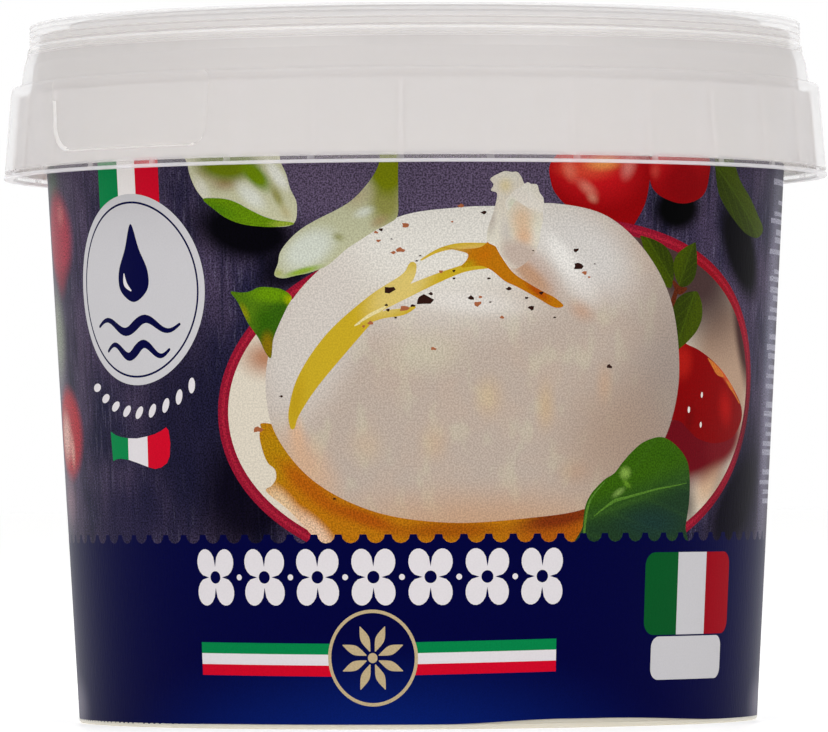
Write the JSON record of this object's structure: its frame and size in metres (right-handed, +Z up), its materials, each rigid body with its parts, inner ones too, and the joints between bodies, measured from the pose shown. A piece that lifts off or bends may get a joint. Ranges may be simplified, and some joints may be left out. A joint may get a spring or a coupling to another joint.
{
  "type": "burrata tub",
  "caption": "Shut round tub of burrata: a tapered wall in a wrap-round printed film, under a stepped snap lid with a deep skirt, a slotted tamper band and a lifting tab.",
  "frame": {"origin": "centre of the foot of the tub, on the surface that it stands on", "axes": "+Z up along the tub's axis, +X to the right and -Y out of the printed front"},
  "size_m": [0.1018, 0.1018, 0.086],
  "materials": {
    "tub": "moulded cream-white translucent polypropylene, satin",
    "label": null,
    "lid": "moulded natural polypropylene, milky and translucent, satin"
  },
  "bodies": {
    "root": {"tub": "tub", "label": "label", "lid": "lid"}
  },
  "joints": []
}
